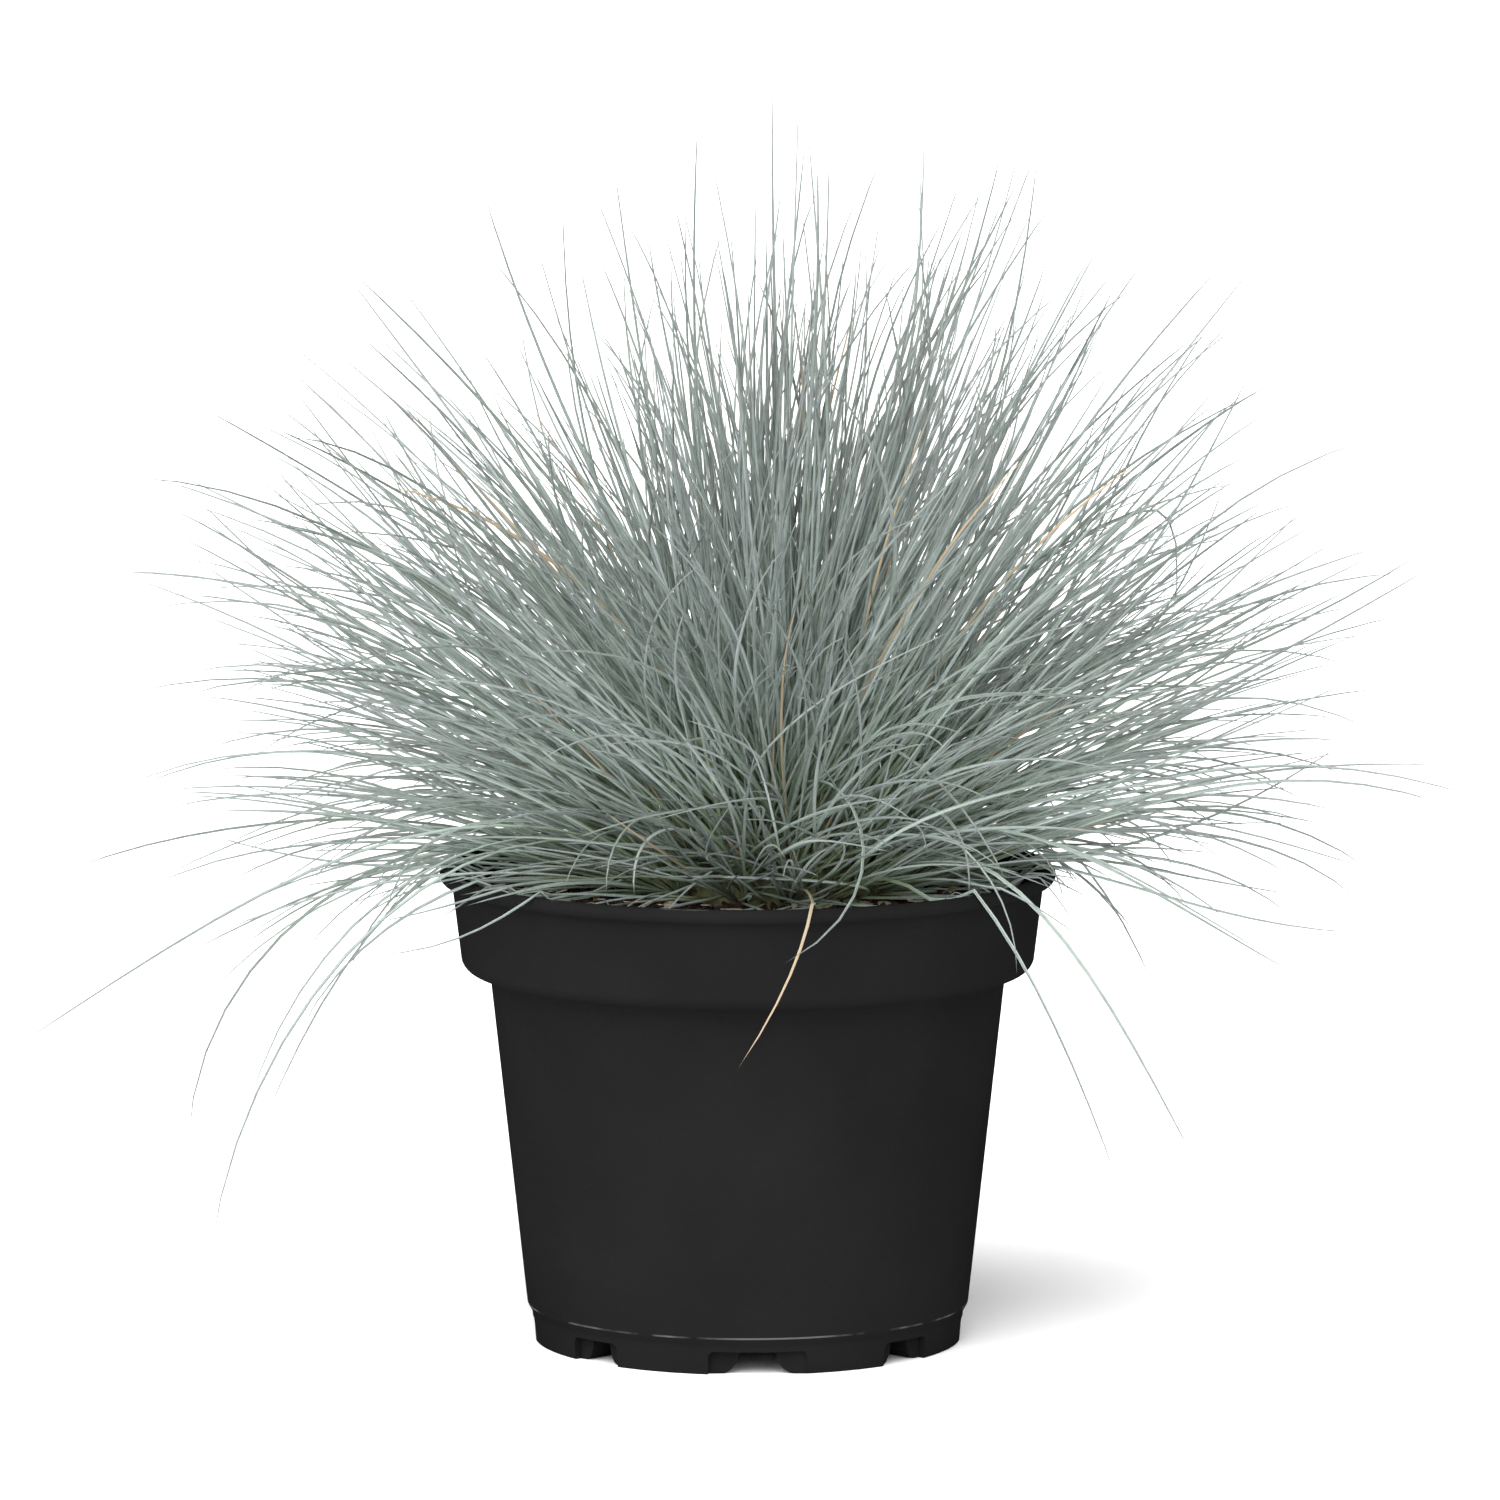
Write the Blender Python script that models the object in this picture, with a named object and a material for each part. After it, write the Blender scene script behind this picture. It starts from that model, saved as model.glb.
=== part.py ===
"""Blue fescue clump in a moulded nursery pot. Metres, +Z up.

The origin is on the pot's axis, on the surface that the pot stands on. The front is towards -Y, and an
azimuth is counted from the front towards +X. The foliage grows from one crown in bundles of leaves, the
tufts, and a few single leaves reach out of the clump.
"""

import math

import bmesh
import bpy
from mathutils import Vector

# Pot, a 3-litre container 190 mm across its lip
LIP_RADIUS = 0.0950
LIP_TOP = 0.1470
COLLAR_TOP = (0.0912, 0.1425)
COLLAR_BOTTOM = (0.0884, 0.1197)
COLLAR_FILLET = 0.0045
BODY_TOP = (0.0794, 0.1134)
BODY_BOTTOM = (0.0682, 0.0114)
FOOT_TOP = (0.0667, 0.0088)
FOOT_RADIUS = 0.0660
WALL = 0.0020
FLOOR_TOP = 0.0095
POT_SIDES = 56

# Foot: arches through the foot ring and the hollow under the floor
ARCH_HEIGHT = 0.0072
WIDE_ARCH = 0.0300
WIDE_ARCH_OFFSET = 0.0030
NARROW_ARCH = 0.0185
NARROW_ARCH_AZIMUTHS = (-90, -45, 47, 90, 135, -135)
ARCH_CORNER = 0.0018
FOOT_RING_WALL = 0.0030
CHANNEL_TOP_SHARE = 0.38
CHANNEL_FOOT_SHARE = 0.76
HOLLOW_RADIUS = 0.0480
ROUND_STEPS = 4
WIDE_CHANNEL_START = 0.0100
NARROW_CHANNEL_START = 0.0240
DRAIN_HOLE_RADIUS = 0.0045
DRAIN_HOLES = 4
DRAIN_HOLE_CIRCLE = 0.0300
DRAIN_HOLE_SIDES = 12
DRAIN_HOLE_FIRST = 45

# Soil
SOIL_TOP = 0.1395
SOIL_EDGE = 0.1385
GAP = 0.0004

# Crown: the part of a ball that stands out of the soil
CROWN_X = 0.009
CROWN_RADIUS = 0.0400
CROWN_CENTRE = 0.1290
CROWN_SIDES = 20
CROWN_ARC_POINTS = 7

# Tufts, ring by ring: how many, lean from upright, droop to the tip, length, azimuth of the first
RINGS = (
    (1, 3, 10, 0.185, -90),
    (6, 18, 16, 0.185, 12),
    (10, 35, 26, 0.180, 0),
    (13, 52, 36, 0.170, 14),
    (13, 68, 50, 0.160, 10),
)
TUFT_POINTS = 8
TUFT_BASE_RADIUS = 0.0037
TUFT_BELLY_RADIUS = 0.0078
TUFT_BELLY_PLACE = 0.42
TUFT_TIP_RADIUS = 0.0007
TUFT_TAPER = 1.3
DROOP_POWER = 1.6
LOW_LEAN = 60
FRONT_HALF_ANGLE = 62
FRONT_SHARE = 0.62
FRONT_DROOP_SHARE = 0.35

# Single leaves: tip (x, y, z), azimuth and lean where the leaf starts, lean at the tip
LEAVES = (
    ((-0.221, -0.130, 0.109), -54, 62, 118),
    ((0.216, 0.090, 0.236), 108, 55, 62),
    ((0.018, -0.022, 0.380), 42, 14, -26),
    ((0.090, 0.030, 0.371), 88, 24, 6),
    ((-0.128, 0.020, 0.334), -88, 30, 38),
    ((-0.162, -0.085, 0.041), -63, 60, 172),
    ((0.134, -0.096, 0.072), 51, 60, 146),
    ((-0.040, 0.202, 0.215), 188, 50, 88),
    ((0.105, -0.200, 0.225), 27, 44, 84),
    ((0.130, 0.122, 0.090), 134, 58, 150),
)
LEAF_POINTS = 15
LEAF_RADIUS = 0.0008
LEAF_TIP_SHARE = 0.4
LEAF_PULL = 0.42


def material(name, colour, roughness):
    """A Principled material of one plain colour."""
    made = bpy.data.materials.new(name)
    made.use_nodes = True
    shader = made.node_tree.nodes["Principled BSDF"]
    shader.inputs["Base Color"].default_value = (*colour, 1.0)
    shader.inputs["Roughness"].default_value = roughness
    shader.inputs["Metallic"].default_value = 0.0
    return made


def add_object(name, data, finish=None, parent=None):
    """Links a new object that holds this mesh or curve."""
    made = bpy.data.objects.new(name, data)
    bpy.context.scene.collection.objects.link(made)
    if finish:
        data.materials.append(finish)
    made.parent = parent
    return made


def mesh_from(bm, name, smooth_angle=35):
    """The finished mesh of a bmesh, smooth over its shallow edges."""
    bmesh.ops.recalc_face_normals(bm, faces=bm.faces)
    mesh = bpy.data.meshes.new(name)
    bm.to_mesh(mesh)
    bm.free()
    mesh.shade_smooth()
    mesh.set_sharp_from_angle(angle=math.radians(smooth_angle))
    return mesh


def outward(azimuth):
    """The level direction at this azimuth, in degrees from the front."""
    turn = math.radians(azimuth)
    return Vector((math.sin(turn), -math.cos(turn), 0.0))


def leaning(azimuth, lean):
    """The direction that leans from upright by this many degrees, towards the azimuth."""
    tilt = math.radians(lean)
    return outward(azimuth) * math.sin(tilt) + Vector((0.0, 0.0, math.cos(tilt)))


def turned(name, outline, sides, centre=(0.0, 0.0, 0.0)):
    """A solid turned about the upright axis through the centre; both ends of the outline are on the axis."""
    bm = bmesh.new()
    centre = Vector(centre)
    points = [bm.verts.new(centre + Vector((radius, 0.0, height))) for radius, height in outline]
    edges = [bm.edges.new(pair) for pair in zip(points, points[1:])]
    bmesh.ops.spin(
        bm,
        geom=points + edges,
        cent=centre,
        axis=(0.0, 0.0, 1.0),
        angle=math.tau,
        steps=sides,
        use_merge=True,
    )
    bmesh.ops.remove_doubles(bm, verts=bm.verts, dist=1e-6)
    return mesh_from(bm, name)


def arc_points(centre, radius, start, end, count):
    """Points (radius, height) on an arc in the outline's plane, from the start angle to the end angle."""
    angles = [math.radians(start + (end - start) * i / (count - 1)) for i in range(count)]
    return [(centre[0] + radius * math.cos(a), centre[1] + radius * math.sin(a)) for a in angles]


def along(start, end, share):
    """The point this share of the way from the start to the end."""
    return tuple(a + (b - a) * share for a, b in zip(start, end))


# Pot


def pot_inside(clearance):
    """The inner outline from the lip down to the middle of the floor, moved in by the clearance."""
    fillet_foot = COLLAR_BOTTOM[0] - COLLAR_FILLET
    points = [
        (COLLAR_TOP[0] - WALL, COLLAR_TOP[1]),
        (COLLAR_BOTTOM[0] - WALL, COLLAR_BOTTOM[1] + WALL / 2),
        (fillet_foot, COLLAR_BOTTOM[1] - COLLAR_FILLET / 2),
        (BODY_TOP[0] - WALL, BODY_TOP[1] + WALL),
        (BODY_BOTTOM[0] - WALL, BODY_BOTTOM[1]),
        (BODY_BOTTOM[0] - 2 * WALL, FLOOR_TOP),
    ]
    return [(radius - clearance, height + clearance) for radius, height in points]


def pot_outline():
    """The whole wall's outline: under the floor, up the outside, over the lip and down the inside."""
    bead = LIP_TOP - COLLAR_TOP[1]
    bead_centre = (LIP_RADIUS - bead / 2, LIP_TOP - bead / 2)
    fillet_centre = (COLLAR_BOTTOM[0] - COLLAR_FILLET, COLLAR_BOTTOM[1])
    outside = [
        (0.0, 0.0),
        (FOOT_RADIUS, 0.0),
        FOOT_TOP,
        BODY_BOTTOM,
        along(BODY_BOTTOM, BODY_TOP, 0.5),
        BODY_TOP,
        *reversed(arc_points(fillet_centre, COLLAR_FILLET, 0, -72, 4)),
        COLLAR_TOP,
        *arc_points(bead_centre, bead / 2, -60, 120, 6),
    ]
    return outside + pot_inside(0.0) + [(0.0, FLOOR_TOP)]


def arch_outline(width):
    """The arch cut through the foot ring: a rectangle with rounded upper corners, below it a little spare."""
    half = width / 2 - ARCH_CORNER
    top = ARCH_HEIGHT - ARCH_CORNER
    right = arc_points((half, top), ARCH_CORNER, 0, 90, 4)
    left = arc_points((-half, top), ARCH_CORNER, 90, 180, 4)
    return [(width / 2, -WALL), *right, *left, (-width / 2, -WALL)]


def round_over(roof, foot):
    """The quarter round of a channel's wall, from its roof's edge down to its foot."""
    points = []
    for step in range(ROUND_STEPS + 1):
        turn = math.radians(90 * step / ROUND_STEPS)
        points.append((roof + (foot - roof) * (1 - math.cos(turn)), ARCH_HEIGHT * (1 - math.sin(turn))))
    return points


def channel_outline(width):
    """The drain channel behind an arch: its walls round over from the narrow roof to the wide foot."""
    foot = width / 2 * CHANNEL_FOOT_SHARE
    right = round_over(width / 2 * CHANNEL_TOP_SHARE, foot) + [(foot, -WALL)]
    return [(-across, height) for across, height in reversed(right)] + right


def add_prism(bm, outline, azimuth, near, far, shift):
    """Adds a level prism that runs outward at the azimuth between two distances from the axis."""
    way = outward(azimuth)
    side = Vector((-way.y, way.x, 0.0))
    base = shift + way * near
    ring = [bm.verts.new(base + side * across + Vector((0.0, 0.0, height))) for across, height in outline]
    face = bm.faces.new(ring)
    extruded = bmesh.ops.extrude_face_region(bm, geom=[face])["geom"]
    moved = [item for item in extruded if isinstance(item, bmesh.types.BMVert)]
    bmesh.ops.translate(bm, verts=moved, vec=way * (far - near))


def cut_away(target, mesh):
    """Cuts the mesh's shape out of the target."""
    cutter = add_object(mesh.name, mesh)
    cutter.hide_render = True
    cutter.display_type = "WIRE"
    cut = target.modifiers.new(mesh.name, "BOOLEAN")
    cut.operation = "DIFFERENCE"
    cut.solver = "EXACT"
    cut.object = cutter


def prism_mesh(name, *prism):
    """One prism as a mesh of its own."""
    bm = bmesh.new()
    add_prism(bm, *prism)
    return mesh_from(bm, name)


def make_pot(finish):
    """The moulded pot: its turned wall, with the foot's arches, channels, hollow and drain holes cut away."""
    pot = add_object("pot", turned("pot", pot_outline(), POT_SIDES), finish)
    outside = FOOT_RADIUS + 3 * WALL
    ring_inside = FOOT_RADIUS - FOOT_RING_WALL
    centred = Vector((0.0, 0.0, 0.0))
    offset = Vector((WIDE_ARCH_OFFSET, 0.0, 0.0))
    rim = round_over(HOLLOW_RADIUS - ARCH_HEIGHT, HOLLOW_RADIUS)
    hollow = [(0.0, ARCH_HEIGHT), *rim, (HOLLOW_RADIUS, -WALL), (0.0, -WALL)]
    cut_away(pot, turned("cut_hollow", hollow, POT_SIDES // 2))
    for azimuth in (0, 180):
        arch = (arch_outline(WIDE_ARCH), azimuth, ring_inside, outside, offset)
        channel = (channel_outline(WIDE_ARCH), azimuth, WIDE_CHANNEL_START, FOOT_RADIUS, offset)
        cut_away(pot, prism_mesh(f"cut_arch_{azimuth}", *arch))
        cut_away(pot, prism_mesh(f"cut_channel_{azimuth}", *channel))
    for azimuth in NARROW_ARCH_AZIMUTHS:
        arch = (arch_outline(NARROW_ARCH), azimuth, ring_inside, outside, centred)
        channel = (channel_outline(NARROW_ARCH), azimuth, NARROW_CHANNEL_START, FOOT_RADIUS, centred)
        cut_away(pot, prism_mesh(f"cut_arch_{azimuth}", *arch))
        cut_away(pot, prism_mesh(f"cut_channel_{azimuth}", *channel))
    above_floor = FLOOR_TOP + WALL
    drill = [(0.0, above_floor), (DRAIN_HOLE_RADIUS, above_floor), (DRAIN_HOLE_RADIUS, 0.0), (0.0, 0.0)]
    for hole in range(DRAIN_HOLES):
        centre = outward(DRAIN_HOLE_FIRST + 360 * hole / DRAIN_HOLES) * DRAIN_HOLE_CIRCLE
        cut_away(pot, turned(f"cut_drain_{hole}", drill, DRAIN_HOLE_SIDES, centre))
    return pot


# Soil and crown


def make_soil(finish):
    """The plug of soil, which fills the pot from its floor to a little below its lip."""
    wall = [point for point in pot_inside(GAP) if point[1] < SOIL_EDGE]
    slope = (COLLAR_TOP[0] - COLLAR_BOTTOM[0]) / (COLLAR_TOP[1] - COLLAR_BOTTOM[1])
    edge = (COLLAR_TOP[0] - WALL - GAP - slope * (COLLAR_TOP[1] - SOIL_EDGE), SOIL_EDGE)
    outline = [
        (0.0, SOIL_TOP),
        (CROWN_RADIUS + CROWN_X, SOIL_TOP),
        edge,
        *wall,
        (0.0, wall[-1][1]),
    ]
    return add_object("soil", turned("soil", outline, POT_SIDES * 4 // 5), finish)


def make_crown(finish):
    """The heart of the clump: the part of a ball that stands on the soil."""
    foot = SOIL_TOP + GAP
    lowest = math.degrees(math.asin((foot - CROWN_CENTRE) / CROWN_RADIUS))
    dome = arc_points((0.0, CROWN_CENTRE), CROWN_RADIUS, 90, lowest, CROWN_ARC_POINTS)
    outline = [(0.0, dome[0][1]), *dome[1:], (0.0, foot)]
    return add_object("crown", turned("crown", outline, CROWN_SIDES, (CROWN_X, 0.0, 0.0)), finish)


# Foliage


def crown_point(azimuth, lean, clearance):
    """The point this far outside the crown's ball, where a bundle with this lean starts."""
    centre = Vector((CROWN_X, 0.0, CROWN_CENTRE))
    return centre + leaning(azimuth, lean) * (CROWN_RADIUS + clearance)


def drooping_path(azimuth, lean, droop, length):
    """Points from the crown outward, level with the lean at first and drooping more and more."""
    path = [crown_point(azimuth, lean, GAP)]
    step = length / (TUFT_POINTS - 1)
    for i in range(TUFT_POINTS - 1):
        share = (i + 0.5) / (TUFT_POINTS - 1)
        path.append(path[-1] + leaning(azimuth, lean + droop * share**DROOP_POWER) * step)
    return path


def tuft_radius(share):
    """A tuft's half width: it swells from its base to its belly and runs out in a fine tip."""
    if share < TUFT_BELLY_PLACE:
        rise = math.sin(math.pi / 2 * share / TUFT_BELLY_PLACE)
        return TUFT_BASE_RADIUS + (TUFT_BELLY_RADIUS - TUFT_BASE_RADIUS) * rise
    run_out = (share - TUFT_BELLY_PLACE) / (1 - TUFT_BELLY_PLACE)
    return TUFT_BELLY_RADIUS + (TUFT_TIP_RADIUS - TUFT_BELLY_RADIUS) * run_out**TUFT_TAPER


def tube(name, path, radii, resolution, finish, parent):
    """A closed tube along the path, with a radius at each point."""
    curve = bpy.data.curves.new(name, "CURVE")
    curve.dimensions = "3D"
    curve.bevel_depth = 1.0
    curve.bevel_resolution = resolution
    curve.use_fill_caps = True
    spline = curve.splines.new("POLY")
    spline.points.add(len(path) - 1)
    for point, place, radius in zip(spline.points, path, radii):
        point.co = (*place, 1.0)
        point.radius = radius
    return add_object(name, curve, finish, parent)


def make_tufts(finish, parent):
    """The rings of tufts; the lowest ones in front are short, so that the pot's lip is free."""
    count = 0
    for tufts, lean, droop, length, first in RINGS:
        for i in range(tufts):
            azimuth = first + 360 * i / tufts
            from_front = abs((azimuth + 180) % 360 - 180)
            low_in_front = lean > LOW_LEAN and from_front < FRONT_HALF_ANGLE
            reach = length * (FRONT_SHARE if low_in_front else 1)
            bend = droop * (FRONT_DROOP_SHARE if low_in_front else 1)
            path = drooping_path(azimuth, lean, bend, reach)
            radii = [tuft_radius(point / (TUFT_POINTS - 1)) for point in range(TUFT_POINTS)]
            count += 1
            tube(f"tuft_{count:02d}", path, radii, 1, finish, parent)


def leaf_path(tip, azimuth, lean, tip_lean):
    """A smooth curve from the crown to the tip that starts and ends at these leans."""
    start = crown_point(azimuth, lean, GAP)
    end = Vector(tip)
    pull = (end - start).length * LEAF_PULL
    away = math.degrees(math.atan2(end.x - start.x, start.y - end.y))
    first = start + leaning(azimuth, lean) * pull
    second = end - leaning(away, tip_lean) * pull
    path = []
    for i in range(LEAF_POINTS):
        t = i / (LEAF_POINTS - 1)
        path.append(
            start * (1 - t) ** 3 + first * 3 * t * (1 - t) ** 2 + second * 3 * t * t * (1 - t) + end * t**3
        )
    return path


def make_leaves(finish, parent):
    """The single leaves, a little finer towards their tips."""
    for i, (tip, azimuth, lean, tip_lean) in enumerate(LEAVES, 1):
        path = leaf_path(tip, azimuth, lean, tip_lean)
        shares = [point / (LEAF_POINTS - 1) for point in range(LEAF_POINTS)]
        radii = [LEAF_RADIUS * (1 - (1 - LEAF_TIP_SHARE) * share**3) for share in shares]
        tube(f"leaf_{i:02d}", path, radii, 0, finish, parent)


def main():
    for old in list(bpy.data.objects):
        bpy.data.objects.remove(old, do_unlink=True)
    charcoal = material("pot_plastic", (0.018, 0.018, 0.019), 0.55)
    earth = material("soil", (0.035, 0.018, 0.012), 0.95)
    sheath = material("crown_sheaths", (0.13, 0.15, 0.06), 0.80)
    foliage = material("foliage", (0.34, 0.42, 0.38), 0.60)
    make_pot(charcoal)
    make_soil(earth)
    crown = make_crown(sheath)
    make_tufts(foliage, crown)
    make_leaves(foliage, crown)


main()
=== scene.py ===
"""Blue fescue clump in a black nursery pot: the visible pieces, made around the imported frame.

Metres, +Z up, the pot's axis at the origin and the front towards -Y. An azimuth is counted in degrees from
the front towards +X, and a lean in degrees from upright.
"""

import math

import bmesh
import bpy
import numpy as np
from mathutils import Matrix, Vector, noise


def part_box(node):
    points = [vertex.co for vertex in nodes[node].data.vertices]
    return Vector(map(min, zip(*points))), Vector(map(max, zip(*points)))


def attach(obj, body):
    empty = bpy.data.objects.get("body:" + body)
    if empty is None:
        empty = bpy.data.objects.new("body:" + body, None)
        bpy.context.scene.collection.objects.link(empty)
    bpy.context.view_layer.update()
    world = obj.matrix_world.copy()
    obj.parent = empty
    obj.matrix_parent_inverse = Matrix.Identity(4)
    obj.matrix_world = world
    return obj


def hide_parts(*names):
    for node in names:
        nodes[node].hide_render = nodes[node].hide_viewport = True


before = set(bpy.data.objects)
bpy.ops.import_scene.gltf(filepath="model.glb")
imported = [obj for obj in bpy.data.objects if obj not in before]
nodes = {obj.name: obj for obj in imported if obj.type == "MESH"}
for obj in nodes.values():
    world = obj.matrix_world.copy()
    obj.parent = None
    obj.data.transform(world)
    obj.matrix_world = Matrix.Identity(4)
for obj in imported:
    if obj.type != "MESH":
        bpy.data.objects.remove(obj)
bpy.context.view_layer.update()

# Places that the frame gives
pot_low, pot_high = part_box("pot")
soil_low, soil_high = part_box("soil")
crown_low, crown_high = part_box("crown")
LIP_RADIUS = pot_high.x
LIP_TOP = pot_high.z
SOIL_TOP = soil_high.z
CROWN_RADIUS = 0.0400
CROWN_CENTRE = Vector(((crown_low.x + crown_high.x) / 2, 0.0, crown_high.z - CROWN_RADIUS))

# Pot outline, as radius and height
COLLAR_TOP = (0.0912, 0.1425)
COLLAR_BOTTOM = (0.0884, 0.1197)
COLLAR_FILLET = 0.0045
BODY_TOP = (0.0794, 0.1134)
BODY_BOTTOM = (0.0682, 0.0114)
FOOT_TOP = (0.0667, 0.0088)
FOOT_RADIUS = 0.0660
WALL = 0.0020
FLOOR_TOP = 0.0095
EDGE_ROUND = 0.0005
TURN_ROUND = 0.0008
POT_SIDES = 160

# Arches and drain channels of the foot
ARCH_HEIGHT = 0.0072
WIDE_ARCH = 0.0300
WIDE_ARCH_OFFSET = 0.0030
NARROW_ARCH = 0.0185
NARROW_ARCH_AZIMUTHS = (-90, -45, 47, 90, 135, -135)
ARCH_CORNER = 0.0018
FOOT_RING_WALL = 0.0030
CHANNEL_TOP_SHARE = 0.38
CHANNEL_FOOT_SHARE = 0.76
HOLLOW_RADIUS = 0.0480
WIDE_CHANNEL_START = 0.0100
NARROW_CHANNEL_START = 0.0240
DRAIN_HOLES = 4
DRAIN_HOLE_RADIUS = 0.0045
DRAIN_HOLE_CIRCLE = 0.0300

# Soil
SOIL_GAP = 0.0006
CRUMBS = 2600
CHIPS = 150
CRUMBS_START = 0.0300
CHIPS_START = 0.0400
CHIP_THICKNESS = 0.0003

# Blades
SEGMENTS = 14
STEP_SHARES = (np.arange(SEGMENTS) + 0.5) / SEGMENTS
BLADE_WIDTH = 0.00112
COLUMNS = 24
DRY_COLUMNS = 2
TILLERS = 12
BLADES_PER_TILLER = 4
YOUNG_LEAVES = 220
GROWTH_FOCUS = 22.0
LEAF_CLEARANCE = 0.0016
LIP_APPROACH = 0.0130
LIP_RISE = 0.0080
FRONT_OF_LIP = 0.004 - LIP_RADIUS * 0.8
LOWEST_OVER_LIP = LIP_TOP + 0.010

# Stage
FLOOR_SIZE = 30.0
KEY_AZIMUTH = -28
KEY_LEAN = 32
KEY_ANGLE = 70
KEY_STRENGTH = 3.4
SKY_BRIGHT_SIDE = (-0.22, -0.85, 0.48)
LENS = 265.8
CAMERA_PLACE = (0.0007, -3.378, 0.632)
CAMERA_PITCH = 7.571

# How the leaves grow on each side: azimuth, lean, share of the tuft's reach, share of the usual number
GROWTH = (
    (0, 0, 0.54, 0.60),
    (0, 24, 0.66, 0.80),
    (180, 24, 0.62, 0.80),
    (-90, 12, 1.04, 1.30),
    (-90, 27, 0.50, 0.50),
    (-90, 43, 1.20, 1.75),
    (-90, 60, 0.66, 0.90),
    (-90, 75, 0.80, 0.80),
    (-90, 88, 0.66, 0.65),
    (90, 8, 0.84, 0.75),
    (90, 19, 1.34, 1.90),
    (90, 35, 0.56, 0.40),
    (90, 50, 0.74, 0.60),
    (90, 65, 1.34, 1.80),
    (90, 78, 0.38, 0.50),
    (90, 88, 0.28, 0.30),
    (0, 45, 0.80, 1.10),
    (0, 70, 0.62, 1.00),
    (-55, 82, 0.60, 0.45),
    (55, 82, 0.50, 0.40),
    (180, 45, 0.82, 1.00),
    (180, 75, 0.80, 0.90),
)


# Vectors and outlines


def outward(azimuth):
    """The level direction at an azimuth."""
    turn = math.radians(azimuth)
    return Vector((math.sin(turn), -math.cos(turn), 0.0))


def leaning(azimuth, lean):
    """The direction at an azimuth, tilted from upright by the lean."""
    tilt = math.radians(lean)
    return outward(azimuth) * math.sin(tilt) + Vector((0.0, 0.0, math.cos(tilt)))


def arc_points(centre, radius, start, end, count):
    """Points of an arc between two angles in degrees."""
    angles = [math.radians(start + (end - start) * i / (count - 1)) for i in range(count)]
    return [(centre[0] + radius * math.cos(a), centre[1] + radius * math.sin(a)) for a in angles]


def along(start, end, share):
    """The point at a share of the way between two points."""
    return tuple(a + (b - a) * share for a, b in zip(start, end))


def rounded(before, corner, after, radius, steps=3):
    """The corner of an outline, rounded off to the radius with a short curve."""
    corner = Vector(corner)
    enter = corner + (Vector(before) - corner).normalized() * radius
    leave = corner + (Vector(after) - corner).normalized() * radius
    points = []
    for i in range(steps + 1):
        t = i / steps
        points.append(tuple(enter * (1 - t) ** 2 + corner * 2 * t * (1 - t) + leave * t * t))
    return points


# Objects


def piece(name, mesh, material, smooth_angle=None):
    """A finished piece at the origin, which rides on the object's one body."""
    if smooth_angle:
        mesh.shade_smooth()
        mesh.set_sharp_from_angle(angle=math.radians(smooth_angle))
    made = bpy.data.objects.new(name, mesh)
    bpy.context.scene.collection.objects.link(made)
    mesh.materials.append(material)
    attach(made, "root")
    return made


def put_in_order(bm):
    """Sorts the parts of a bmesh by their places along a skew line, so that each run gives the same mesh."""
    line = Vector((0.31, 0.77, 0.55))
    bm.verts.sort(key=lambda vertex: vertex.co.dot(line))
    bm.edges.sort(key=lambda edge: (edge.verts[0].co + edge.verts[1].co).dot(line))
    bm.faces.sort(key=lambda face: face.calc_center_median().dot(line))


def bm_mesh(name, bm):
    """The bmesh as a mesh that faces outward; frees the bmesh."""
    bmesh.ops.recalc_face_normals(bm, faces=bm.faces)
    put_in_order(bm)
    mesh = bpy.data.meshes.new(name)
    bm.to_mesh(mesh)
    bm.free()
    return mesh


def turned(outline, sides, centre=(0.0, 0.0, 0.0)):
    """A bmesh turned about the upright axis through the centre; the outline's ends are on the axis."""
    bm = bmesh.new()
    centre = Vector(centre)
    points = [bm.verts.new(centre + Vector((radius, 0.0, height))) for radius, height in outline]
    edges = [bm.edges.new(pair) for pair in zip(points, points[1:])]
    bmesh.ops.spin(
        bm,
        geom=points + edges,
        cent=centre,
        axis=(0.0, 0.0, 1.0),
        angle=math.tau,
        steps=sides,
        use_merge=True,
    )
    bmesh.ops.remove_doubles(bm, verts=bm.verts, dist=1e-6)
    return bm


def settled(obj):
    """The object's mesh with its modifiers applied."""
    graph = bpy.context.evaluated_depsgraph_get()
    return bpy.data.meshes.new_from_object(obj.evaluated_get(graph))


# Materials


def new_material(name):
    """A material with its nodes, its links and its Principled shader."""
    made = bpy.data.materials.new(name)
    made.use_nodes = True
    return made, made.node_tree.nodes, made.node_tree.links, made.node_tree.nodes["Principled BSDF"]


def maths(nodes_, links, operation, first, second=None, third=None, clamp=False):
    """A Math node fed by sockets or plain numbers; returns its output."""
    node = nodes_.new("ShaderNodeMath")
    node.operation = operation
    node.use_clamp = clamp
    for socket, value in zip(node.inputs, (first, second, third)):
        if value is None:
            continue
        if isinstance(value, (int, float)):
            socket.default_value = value
        else:
            links.new(value, socket)
    return node.outputs[0]


def ramp(nodes_, links, factor, stops, ease="LINEAR"):
    """A colour ramp of (place, colour) stops; returns its colour output."""
    node = nodes_.new("ShaderNodeValToRGB")
    node.color_ramp.interpolation = ease
    elements = node.color_ramp.elements
    for _ in range(len(stops) - 2):
        elements.new(0.5)
    for element, (place, colour) in zip(elements, stops):
        element.position = place
        element.color = (*colour, 1.0)
    links.new(factor, node.inputs[0])
    return node.outputs[0]


def mixed(nodes_, links, factor, first, second, blend="MIX"):
    """A colour Mix node; returns its colour output."""
    node = nodes_.new("ShaderNodeMix")
    node.data_type = "RGBA"
    node.blend_type = blend
    for socket, value in ((node.inputs[0], factor), (node.inputs[6], first), (node.inputs[7], second)):
        if isinstance(value, (int, float)):
            socket.default_value = value
        elif isinstance(value, tuple):
            socket.default_value = (*value, 1.0)
        else:
            links.new(value, socket)
    return node.outputs[2]


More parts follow.
